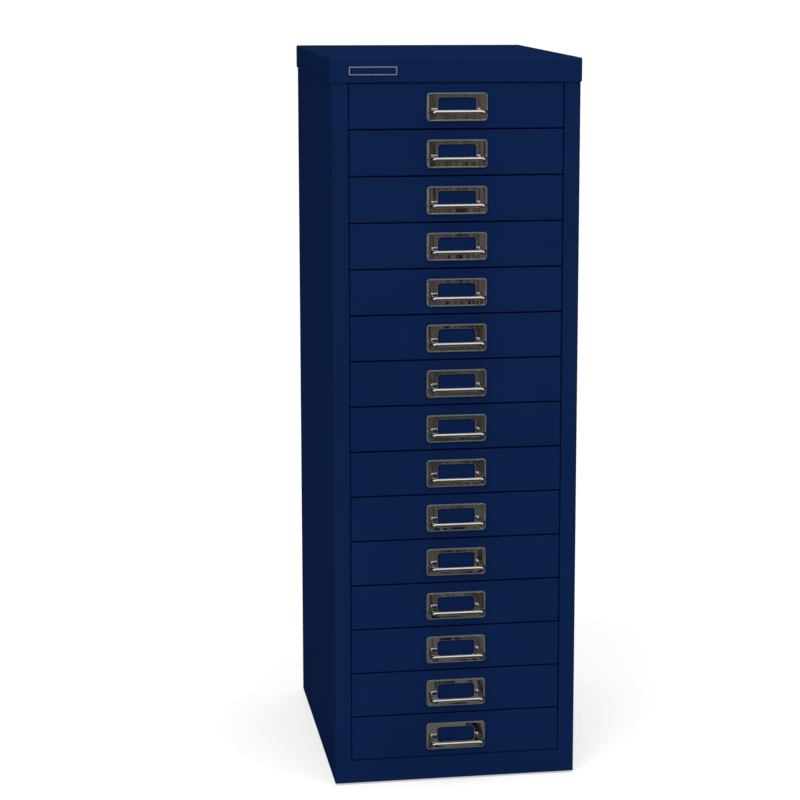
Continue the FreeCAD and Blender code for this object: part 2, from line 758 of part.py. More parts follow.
def bow_line(sketch):
    """The rod's centre line: out along one arm, across the bar and back."""
    runs = [
        (("-foot_half", "-plate_thickness"), ("-foot_half", "arm_end")),
        (("-bar_end", "bar_line"), ("bar_end", "bar_line")),
        (("foot_half", "arm_end"), ("foot_half", "-plate_thickness")),
    ]
    for number, ends in enumerate(runs):
        points = [Vector(value(x), value(y), 0) for x, y in ends]
        sketch.addGeometry(Part.LineSegment(*points), False)
        for which, (x, y) in enumerate(ends, start=1):
            bind(sketch, "DistanceX", (-1, 1), (number, which), x)
            bind(sketch, "DistanceY", (-1, 1), (number, which), y)
    radius = value("pull_bend_radius")
    for number, side in enumerate((-1, 1)):
        centre = Vector(side * value("bar_end"), value("arm_end"), 0)
        first_angle = math.pi * (1 + number / 2)
        circle_line = Part.Circle(centre, Vector(0, 0, 1), radius)
        bend = sketch.addGeometry(
            Part.ArcOfCircle(circle_line, first_angle, first_angle + math.pi / 2), False
        )
        sketch.addConstraint(Sketcher.Constraint("Coincident", number, 2, bend, 1))
        sketch.addConstraint(Sketcher.Constraint("Coincident", bend, 2, number + 1, 1))
        row = sketch.addConstraint(Sketcher.Constraint("Radius", bend, radius))
        sketch.setExpression(f"Constraints[{row}]", bound("pull_bend_radius"))


def pull_bow(label):
    """Bent rod that stands straight out from the label frame, and its two screws."""
    body = new_body(label)
    body.setExpression("Placement.Base.z", bound(bay_height(1)))
    line = plan_sketch(body, "bow_line", "foot_middle")
    bow_line(line)
    section = front_sketch(body, "bow_section", "-plate_thickness")
    circle(section, "-foot_half", "foot_middle", "rod_radius")
    rod = body.newObject("PartDesign::AdditivePipe", "bow_rod")
    rod.Profile = section
    rod.Spine = (line, [f"Edge{number}" for number in range(1, 6)])
    doc.recompute()
    threads = front_sketch(body, "bow_thread_outline", "-plate_thickness")
    shanks = front_sketch(body, "screw_shank_outline", "drawer_sheet")
    heads = front_sketch(body, "screw_head_outline", "drawer_sheet")
    for side in (-1, 1):
        circle(threads, f"{side} * foot_half", "foot_middle", "thread_radius")
        circle(shanks, f"{side} * foot_half", "foot_middle", "screw_radius")
        circle(heads, f"{side} * foot_half", "foot_middle", "screw_head_radius")
    pocket(body, threads, "thread_depth", "bow_threads", backwards=True)
    shank_length = "drawer_sheet + plate_thickness + thread_depth - screw_tip_gap"
    pad(body, shanks, shank_length, "screw_shanks")
    pad(body, heads, "screw_head_height", "screw_heads", backwards=True)
    return body


def repeat(first, label, number):
    """The same piece again in a lower bay."""
    body = doc.addObject("PartDesign::Body", label)
    body.Label = label
    body.BaseFeature = first
    body.setExpression("Placement.Base.y", bound("front_plane"))
    body.setExpression("Placement.Base.z", bound(bay_height(number)))
    return body


# The whole cabinet

sub_parts = [
    side_panel("left_side_panel", -1),
    side_panel("right_side_panel", 1),
    back_panel(),
    back_panel_rivets(),
    base_pan(),
    foot_glides(),
    cross_rail("plinth_rail", "glide_height", "bays_low", ["bays_low - carcass_sheet"]),
    cross_rail("header_rail", "bays_high", "body_top", ["bays_high", "body_top - carcass_sheet"]),
    top_cap(),
    badge_strip(),
    runner_panel("left_runner_panel", -1),
    runner_panel("right_runner_panel", 1),
    runner_channels("left_runner_channels", -1),
    runner_channels("right_runner_channels", 1),
]
for piece, make in (("tray", drawer_tray), ("label_frame", label_frame), ("pull_bow", pull_bow)):
    first = make(drawer_name(1, piece))
    sub_parts.append(first)
    for number in range(2, round(value("drawer_count")) + 1):
        sub_parts.append(repeat(first, drawer_name(number, piece), number))
doc.recompute()

# Checks before anything is written

for item in doc.Objects:
    if "Invalid" in item.State or "Error" in item.State:
        raise RuntimeError(f"{item.Label} did not compute")
for body in sub_parts:
    if body.Shape.isNull() or not body.Shape.isValid():
        raise RuntimeError(f"{body.Label} has no sound shape")

os.makedirs("parts", exist_ok=True)
for body in sub_parts:
    body.Shape.exportStep(f"parts/{body.Label}.step")
print(f"{len(sub_parts)} sub-parts, {value('cabinet_top'):.1f} mm high")
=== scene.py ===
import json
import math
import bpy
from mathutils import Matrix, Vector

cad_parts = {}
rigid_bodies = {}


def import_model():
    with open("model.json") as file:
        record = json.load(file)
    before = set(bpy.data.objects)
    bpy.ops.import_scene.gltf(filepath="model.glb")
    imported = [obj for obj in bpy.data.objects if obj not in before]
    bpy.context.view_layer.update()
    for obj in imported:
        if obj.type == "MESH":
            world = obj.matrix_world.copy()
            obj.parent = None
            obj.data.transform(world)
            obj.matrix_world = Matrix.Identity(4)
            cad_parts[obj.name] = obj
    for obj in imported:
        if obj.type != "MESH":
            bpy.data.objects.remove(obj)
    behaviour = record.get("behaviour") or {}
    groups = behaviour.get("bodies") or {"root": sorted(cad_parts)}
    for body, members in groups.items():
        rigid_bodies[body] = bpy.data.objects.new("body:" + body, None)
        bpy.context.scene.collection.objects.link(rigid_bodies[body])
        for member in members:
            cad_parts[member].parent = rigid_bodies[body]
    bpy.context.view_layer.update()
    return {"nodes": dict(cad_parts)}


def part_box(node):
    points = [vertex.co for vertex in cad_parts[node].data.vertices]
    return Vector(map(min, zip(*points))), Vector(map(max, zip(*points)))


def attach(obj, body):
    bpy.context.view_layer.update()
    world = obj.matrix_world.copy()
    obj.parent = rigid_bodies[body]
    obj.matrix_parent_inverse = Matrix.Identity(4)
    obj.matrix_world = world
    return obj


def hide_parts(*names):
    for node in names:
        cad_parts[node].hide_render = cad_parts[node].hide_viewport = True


bl_info = {
    "name": "Multi-drawer cabinet looks",
    "version": (1, 0, 0),
    "blender": (4, 5, 0),
    "location": "3D View > Sidebar > Cabinet",
    "description": "Finishes, label frames, badge and studio for a steel multi-drawer cabinet",
    "category": "Object",
}

from collections import namedtuple

import bpy
from mathutils import Matrix, Vector

for left_over in list(bpy.data.objects):
    bpy.data.objects.remove(left_over, do_unlink=True)

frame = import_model()

# Lengths are in metres, and noise scales count features per metre

NODES = frame["nodes"]
CARCASS_BODY = "cabinet"
DRAWER_COUNT = sum(name.endswith("_tray") for name in NODES)

CARCASS_NODES = (
    "left_side_panel",
    "right_side_panel",
    "back_panel",
    "base_pan",
    "plinth_rail",
    "header_rail",
    "top_cap",
    "left_runner_panel",
    "right_runner_panel",
)
RUNNER_NODES = ("left_runner_channels", "right_runner_channels")

# Camera: place, turns in degrees, and lens in pixels of the square photograph
CAMERA_PLACE = (-0.4485, -2.8369, 0.9784)
CAMERA_YAW = -10.16
CAMERA_PITCH = -9.84
CAMERA_ROLL = 0.25
CAMERA_FOCAL_PX = 2350.0
CAMERA_CENTRE_PX = (480.0, 360.0)
CAMERA_CLIP = (0.05, 500.0)
PHOTO_PX = 800.0
SENSOR_MM = 36.0

# Steps of a rounded corner and of a rolled edge, and where the dish starts in rim radii
CORNER_STEPS = 8
ROLL_STEPS = 6
RIM_LAND = 1.25

# Material slots of a label frame
RIM_SLOT = 0
FIELD_SLOT = 1

# Sockets of the mix node when it mixes colours, and how far apart nodes are laid out
MIX_FACTOR = 0
MIX_FIRST = 6
MIX_SECOND = 7
MIX_RESULT = 2
NODE_SPACING = 180

WHOLE = (0.0, 1.0)
WHITE = (1.0, 1.0, 1.0, 1.0)

# Powder coat: slow waves against orange peel, what follows the waves, and the film on top
WAVE_OVER_PEEL = 6.0
MOTTLE_RANGE = (0.3, 0.7)
NAVY_TONES = (0.90, 1.12)
NAVY_ROUGHNESS = (0.42, 0.50)
NAVY_COAT = 0.035
NAVY_COAT_ROUGHNESS = 0.35

# Dust: its colour, its share, how far a face looks up to hold it, and its clouds
DUST_COLOUR = (0.05, 0.055, 0.075)
DUST_SHARE = 0.03
UPWARD_RANGE = (0.6, 0.98)
CLOUD_RANGE = (0.35, 0.75)
CLOUD_SHARE = (0.25, 1.0)

# Nylon: peel per metre, tones, roughness and depth of the moulded grain
NYLON_PEEL = 1400.0
NYLON_TONES = (0.8, 1.3)
NYLON_ROUGHNESS = 0.55
NYLON_DEPTH = 0.00002

# Bright metals: tones of clean and handled metal, and where a smudge begins and is full
METAL_TONES = (1.03, 0.92)
SMUDGE_RANGE = (0.35, 0.7)
FINE_WAVES = (300.0, 300.0, 300.0)

# Each metal: lowest and highest roughness, smudges per metre, its waves, and the metal's share
PLATE_FINISH = {
    "smooth": 0.04,
    "rough": 0.08,
    "scale": 120.0,
    "wave_scale": (70.0, 70.0, 4.0),
    "wave_depth": 0.00045,
    "metallic": 1.0,
}
RIM_FINISH = {
    "smooth": 0.42,
    "rough": 0.55,
    "scale": 200.0,
    "wave_scale": FINE_WAVES,
    "wave_depth": 0.00001,
    "metallic": 0.5,
}
BOW_FINISH = {
    "smooth": 0.05,
    "rough": 0.09,
    "scale": 120.0,
    "wave_scale": (80.0, 80.0, 80.0),
    "wave_depth": 0.00003,
    "metallic": 1.0,
}
ZINC_FINISH = {
    "smooth": 0.32,
    "rough": 0.5,
    "scale": 140.0,
    "wave_scale": FINE_WAVES,
    "wave_depth": 0.00002,
    "metallic": 1.0,
}
RIVET_FINISH = {
    "smooth": 0.35,
    "rough": 0.5,
    "scale": 300.0,
    "wave_scale": FINE_WAVES,
    "wave_depth": 0.00002,
    "metallic": 0.5,
}
BADGE_FINISH = {
    "smooth": 0.3,
    "rough": 0.42,
    "scale": 400.0,
    "wave_scale": FINE_WAVES,
    "wave_depth": 0.00002,
    "metallic": 0.5,
}

# Floor and world: strengths that whiten what cameras and mirrors see, and plain light
FLOOR_REACH = 150.0
FLOOR_TONES = (0.995, 1.005)
FLOOR_CLOUDS = 3.0
FLOOR_ROUGHNESS = 0.9
FLOOR_GLOW = 0.46
WORLD_STRENGTHS = (0.5, 1.0)

# Flags: dark cards that stand and lie round the cabinet, and their soft bands
FLAG_FRONT_X = (-2.8, 3.4)
FLAG_FRONT_Y = -3.4
FLAG_FRONT_TOP = 2.05
FLAG_BACK_X = (-3.0, 3.0)
FLAG_BACK_Y = 1.6
FLAG_SIDE_X = 1.6
FLAG_SIDE_Y = (-0.6, 1.6)
FLAG_TOP = 4.0
FLAG_FLOOR_Z = 0.001
UPRIGHT_BANDS = (14.0, 0.5, 0.5)
LYING_BANDS = (40.0, 1.2, 1.0)
BAND_RANGE = (0.43, 0.57)
BAND_TONES = (0.04, 2.4)
NEAR_RANGE = (-1.1, -0.2)
LYING_NEAR_BOOST = 1.15

# Suns: name, the way their light travels, strength, and angle in degrees
SUNS = (
    ("key_sun", (0.50, 0.80, -0.65), 1.25, 60.0),
    ("fill_sun", (-0.5, 0.8, -0.3), 0.7, 80.0),
    ("back_sun", (-0.2, -0.9, -0.35), 0.7, 80.0),
)
SOFTBOX_PLACE = (0.1, -1.0, 2.7)
SOFTBOX_TARGET = (0.0, -0.2, 0.5)
SOFTBOX_SIZE = (2.4, 1.6)
SOFTBOX_POWER = 20.0

# A ring of a lofted piece: its outline, its y, how far its normals lean outwards and
# forwards, and the material slot of the band that follows it
Ring = namedtuple("Ring", "outline y outwards forwards slot")


class CabinetSizes(bpy.types.PropertyGroup):
    """Sizes of the finishes, the label frames and the badge"""

    peel_size: bpy.props.FloatProperty(
        name="Orange peel size",
        description="Distance between the soft bumps of the powder coat",
        default=0.0016,
        unit="LENGTH",
        subtype="DISTANCE",
    )
    peel_depth: bpy.props.FloatProperty(
        name="Orange peel depth",
        description="Height of the soft bumps of the powder coat",
        default=0.00001,
        unit="LENGTH",
        subtype="DISTANCE",
    )
    frame_corner: bpy.props.FloatProperty(
        name="Label frame corner",
        description="Outer corner radius of the label frames",
        default=0.0040,
        unit="LENGTH",
        subtype="DISTANCE",
    )
    rim_radius: bpy.props.FloatProperty(
        name="Rim radius",
        description="Rounding of a label frame's outer edge",
        default=0.0008,
        unit="LENGTH",
        subtype="DISTANCE",
    )
    dish_depth: bpy.props.FloatProperty(
        name="Dish depth",
        description="How far a label frame's field lies behind its rim",
        default=0.00025,
        unit="LENGTH",
        subtype="DISTANCE",
    )
    dish_width: bpy.props.FloatProperty(
        name="Dish width",
        description="Width of the slope from the rim down to the field",
        default=0.0008,
        unit="LENGTH",
        subtype="DISTANCE",
    )
    window_width: bpy.props.FloatProperty(
        name="Window width",
        description="Width of the card window",
        default=0.0446,
        unit="LENGTH",
        subtype="DISTANCE",
    )
    window_height: bpy.props.FloatProperty(
        name="Window height",
        description="Height of the card window",
        default=0.0182,
        unit="LENGTH",
        subtype="DISTANCE",
    )
    window_top_rail: bpy.props.FloatProperty(
        name="Window top rail",
        description="Height of the plate above the card window",
        default=0.0054,
        unit="LENGTH",
        subtype="DISTANCE",
    )
    window_corner: bpy.props.FloatProperty(
        name="Window corner",
        description="Corner radius of the card window",
        default=0.0038,
        unit="LENGTH",
        subtype="DISTANCE",
    )
    window_roll: bpy.props.FloatProperty(
        name="Window roll",
        description="Rounding of the plate's edge into the card window",
        default=0.0007,
        unit="LENGTH",
        subtype="DISTANCE",
    )
    card_recess: bpy.props.FloatProperty(
        name="Card recess",
        description="Room for a card behind the window",
        default=0.0009,
        unit="LENGTH",
        subtype="DISTANCE",
    )
    card_margin: bpy.props.FloatProperty(
        name="Card margin",
        description="How far the card's room reaches past the window",
        default=0.0030,
        unit="LENGTH",
        subtype="DISTANCE",
    )
    badge_rim: bpy.props.FloatProperty(
        name="Badge rim",
        description="Width of bare metal around the badge's enamel",
        default=0.0009,
        unit="LENGTH",
        subtype="DISTANCE",
    )
    badge_enamel: bpy.props.FloatProperty(
        name="Badge enamel",
        description="Thickness of the enamel on the badge",
        default=0.0002,
        unit="LENGTH",
        subtype="DISTANCE",
    )


class CabinetColours(bpy.types.PropertyGroup):
    """Colours of the pieces and of the stage"""

    navy: bpy.props.FloatVectorProperty(
        name="Navy",
        description="Powder coat of carcass and drawers",
        default=(0.0035, 0.0136, 0.0605),
        subtype="COLOR",
    )
    chrome: bpy.props.FloatVectorProperty(
        name="Chrome",
        description="Plating of label frames and pulls",
        default=(0.74, 0.72, 0.69),
        subtype="COLOR",
    )
    # The rim colour is partly painted reflection: its dark grey-blue stands in for the navy
    # fronts and dim room that the rounded edges mirror; the rougher, duller plating is real.
    rim: bpy.props.FloatVectorProperty(
        name="Rim",
        description="Duller plating on the label frames' rounded edges",
        default=(0.165, 0.185, 0.205),
        subtype="COLOR",
    )
    zinc: bpy.props.FloatVectorProperty(
        name="Zinc",
        description="Plating of the runner channels",
        default=(0.55, 0.57, 0.59),
        subtype="COLOR",
    )
    aluminium: bpy.props.FloatVectorProperty(
        name="Aluminium",
        description="Rivets of the back panel",
        default=(0.66, 0.66, 0.67),
        subtype="COLOR",
    )
    nylon: bpy.props.FloatVectorProperty(
        name="Nylon",
        description="Glides under the base",
        default=(0.018, 0.018, 0.019),
        subtype="COLOR",
    )
    badge: bpy.props.FloatVectorProperty(
        name="Badge metal",
        description="Satin rim of the blank badge",
        default=(0.40, 0.40, 0.41),
        subtype="COLOR",
    )
    floor: bpy.props.FloatVectorProperty(
        name="Floor",
        description="Plain pale floor",
        default=(0.66, 0.66, 0.66),
        subtype="COLOR",
    )
    flag: bpy.props.FloatVectorProperty(
        name="Flag",
        description="Upright dark cards that only reflections see",
        default=(0.052, 0.041, 0.036),
        subtype="COLOR",
    )
    low_flag: bpy.props.FloatVectorProperty(
        name="Low flag",
        description="Dark card on the floor that only reflections see",
        default=(0.050, 0.048, 0.040),
        subtype="COLOR",
    )


class Bench:
    """Adds nodes to one tree and joins them."""

    def __init__(self, tree):
        self.tree = tree
        self.column = 0

    def add(self, kind, **settings):
        node = self.tree.nodes.new(kind)
        self.column += 1
        node.location = (self.column * NODE_SPACING, 0)
        for key, value in settings.items():
            setattr(node, key, value)
        return node

    def join(self, source, target):
        self.tree.links.new(source, target)

    def feed(self, value, socket):
        """Sets a socket to a number, or joins another node's socket to it."""
        if isinstance(value, (int, float)):
            socket.default_value = value
        else:
            self.join(value, socket)

    def object_place(self):
        return self.add("ShaderNodeTexCoord").outputs["Object"]

    def scaled(self, vector, scale):
        """A place stretched by a scale along each axis."""
        node = self.add("ShaderNodeMapping")
        self.join(vector, node.inputs["Vector"])
        if isinstance(scale, tuple):
            node.inputs["Scale"].default_value = scale
        else:
            self.join(scale, node.inputs["Scale"])
        return node.outputs["Vector"]

    def math(self, operation, first, second):
        node = self.add("ShaderNodeMath", operation=operation)
        self.feed(first, node.inputs[0])
        self.feed(second, node.inputs[1])
        return node.outputs[0]

    def noise(self, vector, scale, detail, roughness):
        node = self.add("ShaderNodeTexNoise")
        self.join(vector, node.inputs["Vector"])
        self.feed(scale, node.inputs["Scale"])
        node.inputs["Detail"].default_value = detail
        node.inputs["Roughness"].default_value = roughness
        return node.outputs["Fac"]

    def stretch(self, value, source, target):
        """Maps a value from its source range onto a target range."""
        node = self.add("ShaderNodeMapRange")
        self.join(value, node.inputs["Value"])
        node.inputs["From Min"].default_value, node.inputs["From Max"].default_value = source
        node.inputs["To Min"].default_value, node.inputs["To Max"].default_value = target
        return node.outputs["Result"]

    def mixed(self, factor, first, second):
        """A mix whose ends are plain colours or other nodes' sockets."""
        node = self.add("ShaderNodeMix", data_type="RGBA")
        self.join(factor, node.inputs[MIX_FACTOR])
        for slot, value in ((MIX_FIRST, first), (MIX_SECOND, second)):
            if isinstance(value, tuple):
                node.inputs[slot].default_value = (*value, 1.0)
            else:
                self.join(value, node.inputs[slot])
        return node.outputs[MIX_RESULT]

    def seen_directly(self):
        """1 for rays from the camera, a mirror or glass, and 0 for the light itself."""
        path = self.add("ShaderNodeLightPath").outputs
        seen = self.math("MAXIMUM", path["Is Camera Ray"], path["Is Glossy Ray"])
        return self.math("MAXIMUM", seen, path["Is Transmission Ray"])


def plain_group(name, inputs, outputs):
    """A shader group with named sockets and nothing between them."""
    group = bpy.data.node_groups.new(name, "ShaderNodeTree")
    for label, kind, default in inputs:
        made = group.interface.new_socket(label, in_out="INPUT", socket_type=kind)
        made.default_value = default
    for label, kind in outputs:
        group.interface.new_socket(label, in_out="OUTPUT", socket_type=kind)
    return group


def powder_relief_group():
    """Orange peel and the faint waves of rolled sheet, as one height."""
    group = plain_group(
        "powder_relief",
        (
            ("Peel Scale", "NodeSocketFloat", 600.0),
            ("Wave Scale", "NodeSocketFloat", 9.0),
        ),
        (("Height", "NodeSocketFloat"), ("Mottle", "NodeSocketFloat")),
    )
    bench = Bench(group)
    given = bench.add("NodeGroupInput").outputs
    place = bench.object_place()
    peel = bench.noise(place, given["Peel Scale"], detail=2.0, roughness=0.45)
    wave = bench.noise(place, given["Wave Scale"], detail=1.0, roughness=0.4)
    height = bench.math("ADD", peel, bench.math("MULTIPLY", wave, WAVE_OVER_PEEL))
    result = bench.add("NodeGroupOutput").inputs
    bench.join(height, result["Height"])
    bench.join(wave, result["Mottle"])
    return group


def dust_group():
    """A thin settled film on what faces up, broken by soft clouds."""
    group = plain_group(
        "settled_dust",
        (("Amount", "NodeSocketFloat", 0.1), ("Scale", "NodeSocketFloat", 40.0)),
        (("Mask", "NodeSocketFloat"),),
    )
    bench = Bench(group)
    given = bench.add("NodeGroupInput").outputs
    place = bench.object_place()
    facing = bench.add("ShaderNodeSeparateXYZ")
    bench.join(bench.add("ShaderNodeNewGeometry").outputs["Normal"], facing.inputs[0])
    upward = bench.stretch(facing.outputs["Z"], UPWARD_RANGE, WHOLE)
    cloud = bench.noise(place, given["Scale"], detail=5.0, roughness=0.6)
    film = bench.math("MULTIPLY", upward, bench.stretch(cloud, CLOUD_RANGE, CLOUD_SHARE))
    mask = bench.math("MULTIPLY", film, given["Amount"])
    result = bench.add("NodeGroupOutput").inputs
    bench.join(mask, result["Mask"])
    return group


def handling_group():
    """Smudges of handled metal and the soft waves of its polish."""
    group = plain_group(
        "handling_marks",
        (
            ("Smooth", "NodeSocketFloat", 0.1),
            ("Rough", "NodeSocketFloat", 0.2),
            ("Scale", "NodeSocketFloat", 90.0),
            ("Wave Scale", "NodeSocketVector", (60.0, 60.0, 60.0)),
        ),
        (
            ("Roughness", "NodeSocketFloat"),
            ("Smudge", "NodeSocketFloat"),
            ("Wave", "NodeSocketFloat"),
        ),
    )
    bench = Bench(group)
    given = bench.add("NodeGroupInput").outputs
    place = bench.object_place()
    cloud = bench.noise(place, given["Scale"], detail=4.0, roughness=0.6)
    smudge = bench.stretch(cloud, SMUDGE_RANGE, WHOLE)
    span = bench.math("SUBTRACT", given["Rough"], given["Smooth"])
    rough = bench.math("ADD", given["Smooth"], bench.math("MULTIPLY", smudge, span))
    drawn_out = bench.scaled(place, given["Wave Scale"])
    wave = bench.noise(drawn_out, 1.0, detail=1.0, roughness=0.4)
    result = bench.add("NodeGroupOutput").inputs
    bench.join(rough, result["Roughness"])
    bench.join(smudge, result["Smudge"])
    bench.join(wave, result["Wave"])
    return group


def add_group(bench, name, maker, **values):
    """Places a shared group, made on first use, with this material's own values."""
    node = bench.add("ShaderNodeGroup")
    node.node_tree = bpy.data.node_groups.get(name) or maker()
    for key, value in values.items():
        node.inputs[key.replace("_", " ")].default_value = value
    return node.outputs


def cleared_bench(owner):
    """The bench of a material or a world, with its nodes taken out."""
    owner.use_nodes = True
    owner.node_tree.nodes.clear()
    return Bench(owner.node_tree)


def blank_material(name):
    """A material with its bench and its Principled shader."""
    made = bpy.data.materials.new(name)
    bench = cleared_bench(made)
    shader = bench.add("ShaderNodeBsdfPrincipled")
    out = bench.add("ShaderNodeOutputMaterial")
    bench.join(shader.outputs["BSDF"], out.inputs["Surface"])
    return made, bench, shader


def add_bump(bench, shader, height, distance):
    """Tilts a shader's normals by a height over the surface."""
    bump = bench.add("ShaderNodeBump")
    bump.inputs["Distance"].default_value = distance
    bench.join(height, bump.inputs["Height"])
    bench.join(bump.outputs["Normal"], shader.inputs["Normal"])


def shades(colour, factors):
    """The colour made darker or lighter by each factor."""
    return [tuple(min(1.0, part * factor) for part in colour) for factor in factors]


def navy_paint(name, sizes, colours, dust):
    """Satin powder coat: soft peel, faint mottle, and dust on what faces up."""
    made, bench, shader = blank_material(name)
    relief = add_group(
        bench, "powder_relief", powder_relief_group, Peel_Scale=1.0 / sizes.peel_size
    )
    film = add_group(bench, "settled_dust", dust_group, Amount=dust)
    toned = bench.mixed(relief["Mottle"], *shades(tuple(colours.navy), NAVY_TONES))
    bench.join(bench.mixed(film["Mask"], toned, DUST_COLOUR), shader.inputs["Base Color"])
    rough = bench.stretch(relief["Mottle"], MOTTLE_RANGE, NAVY_ROUGHNESS)
    bench.join(rough, shader.inputs["Roughness"])
    shader.inputs["Specular IOR Level"].default_value = 0.0
    shader.inputs["Coat Weight"].default_value = NAVY_COAT
    shader.inputs["Coat Roughness"].default_value = NAVY_COAT_ROUGHNESS
    add_bump(bench, shader, relief["Height"], sizes.peel_depth)
    return made


def bright_metal(name, colour, smooth, rough, scale, wave_scale, wave_depth, metallic):
    """Plated or bare metal with handling marks in its gloss."""
    made, bench, shader = blank_material(name)
    marks = add_group(
        bench,
        "handling_marks",
        handling_group,
        Smooth=smooth,
        Rough=rough,
        Scale=scale,
        Wave_Scale=wave_scale,
    )
    toned = bench.mixed(marks["Smudge"], *shades(colour, METAL_TONES))
    bench.join(toned, shader.inputs["Base Color"])
    shader.inputs["Metallic"].default_value = metallic
    bench.join(marks["Roughness"], shader.inputs["Roughness"])
    add_bump(bench, shader, marks["Wave"], wave_depth)
    return made


def nylon(name, colour):
    """Moulded nylon with a fine grain."""
    made, bench, shader = blank_material(name)
    relief = add_group(bench, "powder_relief", powder_relief_group, Peel_Scale=NYLON_PEEL)
    toned = bench.mixed(relief["Mottle"], *shades(colour, NYLON_TONES))
    bench.join(toned, shader.inputs["Base Color"])
    shader.inputs["Roughness"].default_value = NYLON_ROUGHNESS
    add_bump(bench, shader, relief["Height"], NYLON_DEPTH)
    return made


def settings():
    """The sizes and the colours that the panel lists."""
    scene = bpy.context.scene
    return scene.cabinet_sizes, scene.cabinet_colours


def drawer_names(part):
    """Names of one kind of piece on every drawer, from the top one down."""
    return ["drawer_%02d_%s" % (number, part) for number in range(1, DRAWER_COUNT + 1)]


def finish_nodes(names, made):
    """Gives a material to all the slots of the named CAD nodes."""
    for name in names:
        for slot in NODES[name].material_slots:
            slot.material = made


def added_object(name, data):
    """A new object in the scene."""
    item = bpy.data.objects.new(name, data)
    bpy.context.scene.collection.objects.link(item)
    return item


def front_of(low, high):
    """Middle and half sizes of a box, seen from the front."""
    middle = ((low.x + high.x) / 2, (low.z + high.z) / 2)
    return middle, (high.x - low.x) / 2, (high.z - low.z) / 2


def rounded_outline(centre, half_width, half_height, radius):
    """Points of a rounded rectangle in the fronts' plane, each with its outward direction."""
    outline = []
    for quarter, (side, level) in enumerate(((1, 1), (-1, 1), (-1, -1), (1, -1))):
        for step in range(CORNER_STEPS + 1):
            turn = math.pi / 2 * (quarter + step / CORNER_STEPS)
            out = (math.cos(turn), math.sin(turn))
            x = centre[0] + side * (half_width - radius) + radius * out[0]
            z = centre[1] + level * (half_height - radius) + radius * out[1]
            outline.append((x, z, out))
    return outline


def lofted_piece(name, rings, made, closed):
    """A mesh through rings, closed from the last to the first or else with a face at each end."""
    count = len(rings[0].outline)
    points = []
    normals = []
    for ring in rings:
        for x, z, out in ring.outline:
            points.append((x, ring.y, z))
            normals.append((ring.outwards * out[0], -ring.forwards, ring.outwards * out[1]))
    faces = []
    slots = []
    for here in range(len(rings) if closed else len(rings) - 1):
        start = here * count
        after = (here + 1) % len(rings) * count
        for step in range(count):
            beside = (step + 1) % count
            faces.append((start + step, start + beside, after + beside, after + step))
            slots.append(rings[here].slot)
    if not closed:
        faces.append(tuple(range(count))[::-1])
        faces.append(tuple(range((len(rings) - 1) * count, len(rings) * count)))
        slots += [rings[0].slot, rings[-1].slot]
    mesh = bpy.data.meshes.new(name)
    mesh.from_pydata(points, [], faces)
    for material in made:
        mesh.materials.append(material)
    for face, slot in zip(mesh.polygons, slots):
        face.material_index = slot
        face.use_smooth = True
    mesh.normals_split_custom_set_from_vertices(normals)
    return added_object(name, mesh)


def quarter_turn():
    """Sine and cosine over a quarter turn."""
    turns = [math.pi / 2 * step / ROLL_STEPS for step in range(ROLL_STEPS + 1)]
    return [(math.sin(turn), math.cos(turn)) for turn in turns]


def frame_rings(low, high, sizes):
    """Rings of a label frame: edge, rim, dished field, roll into the window, card recess."""
    back, face = high.y, low.y
    middle, half_width, half_height = front_of(low, high)
    window_middle = (middle[0], high.z - sizes.window_top_rail - sizes.window_height / 2)

    def outer(inset):
        return rounded_outline(
            middle, half_width - inset, half_height - inset, sizes.frame_corner - inset
        )

    def window(outset):
        return rounded_outline(
            window_middle,
            sizes.window_width / 2 + outset,
            sizes.window_height / 2 + outset,
            sizes.window_corner + outset,
        )

    rim = sizes.rim_radius
    # Rings with RIM_SLOT take the rim material, whose dark grey-blue is painted reflection: the
    # outer edge, the rim, the first half of the dish slope, the roll into the window and the card
    # recess.
    rings = [Ring(outer(0.0), back, 1.0, 0.0, RIM_SLOT)]
    for sine, cosine in quarter_turn():
        y = face + rim * (1 - sine)
        rings.append(Ring(outer(rim * (1 - cosine)), y, cosine, sine, RIM_SLOT))
    for step in range(ROLL_STEPS + 1):
        share = step / ROLL_STEPS
        fall = sizes.dish_depth * (1 - math.cos(math.pi * share)) / 2
        slope = sizes.dish_depth * math.pi * math.sin(math.pi * share) / (2 * sizes.dish_width)
        length = math.hypot(1.0, slope)
        inset = rim * RIM_LAND + sizes.dish_width * share
        slot = RIM_SLOT if step < ROLL_STEPS // 2 else FIELD_SLOT
        rings.append(Ring(outer(inset), face + fall, -slope / length, 1 / length, slot))
    field = face + sizes.dish_depth
    roll = sizes.window_roll
    # The roll into the window keeps the rim material, so its painted grey-blue reflection stops
    # it from shining white.
    for sine, cosine in quarter_turn():
        y = field + roll * (1 - cosine)
        rings.append(Ring(window(roll * (1 - sine)), y, -sine, cosine, RIM_SLOT))
    recess = back - sizes.card_recess
    for outset, y in ((0.0, recess), (sizes.card_margin, recess), (sizes.card_margin, back)):
        rings.append(Ring(window(outset), y, -1.0, 0.0, RIM_SLOT))
    return rings


class CABINET_OT_carcass(bpy.types.Operator):
    """Powder coat on the folded sheet of the carcass"""

    bl_idname = "cabinet.carcass"
    bl_label = "Carcass"

    def execute(self, context):
        finish_nodes(CARCASS_NODES, navy_paint("carcass_navy", *settings(), DUST_SHARE))
        return {"FINISHED"}


class CABINET_OT_drawers(bpy.types.Operator):
    """Powder coat on the drawer trays"""

    bl_idname = "cabinet.drawers"
    bl_label = "Drawers"

    def execute(self, context):
        finish_nodes(drawer_names("tray"), navy_paint("drawer_navy", *settings(), DUST_SHARE))
        return {"FINISHED"}


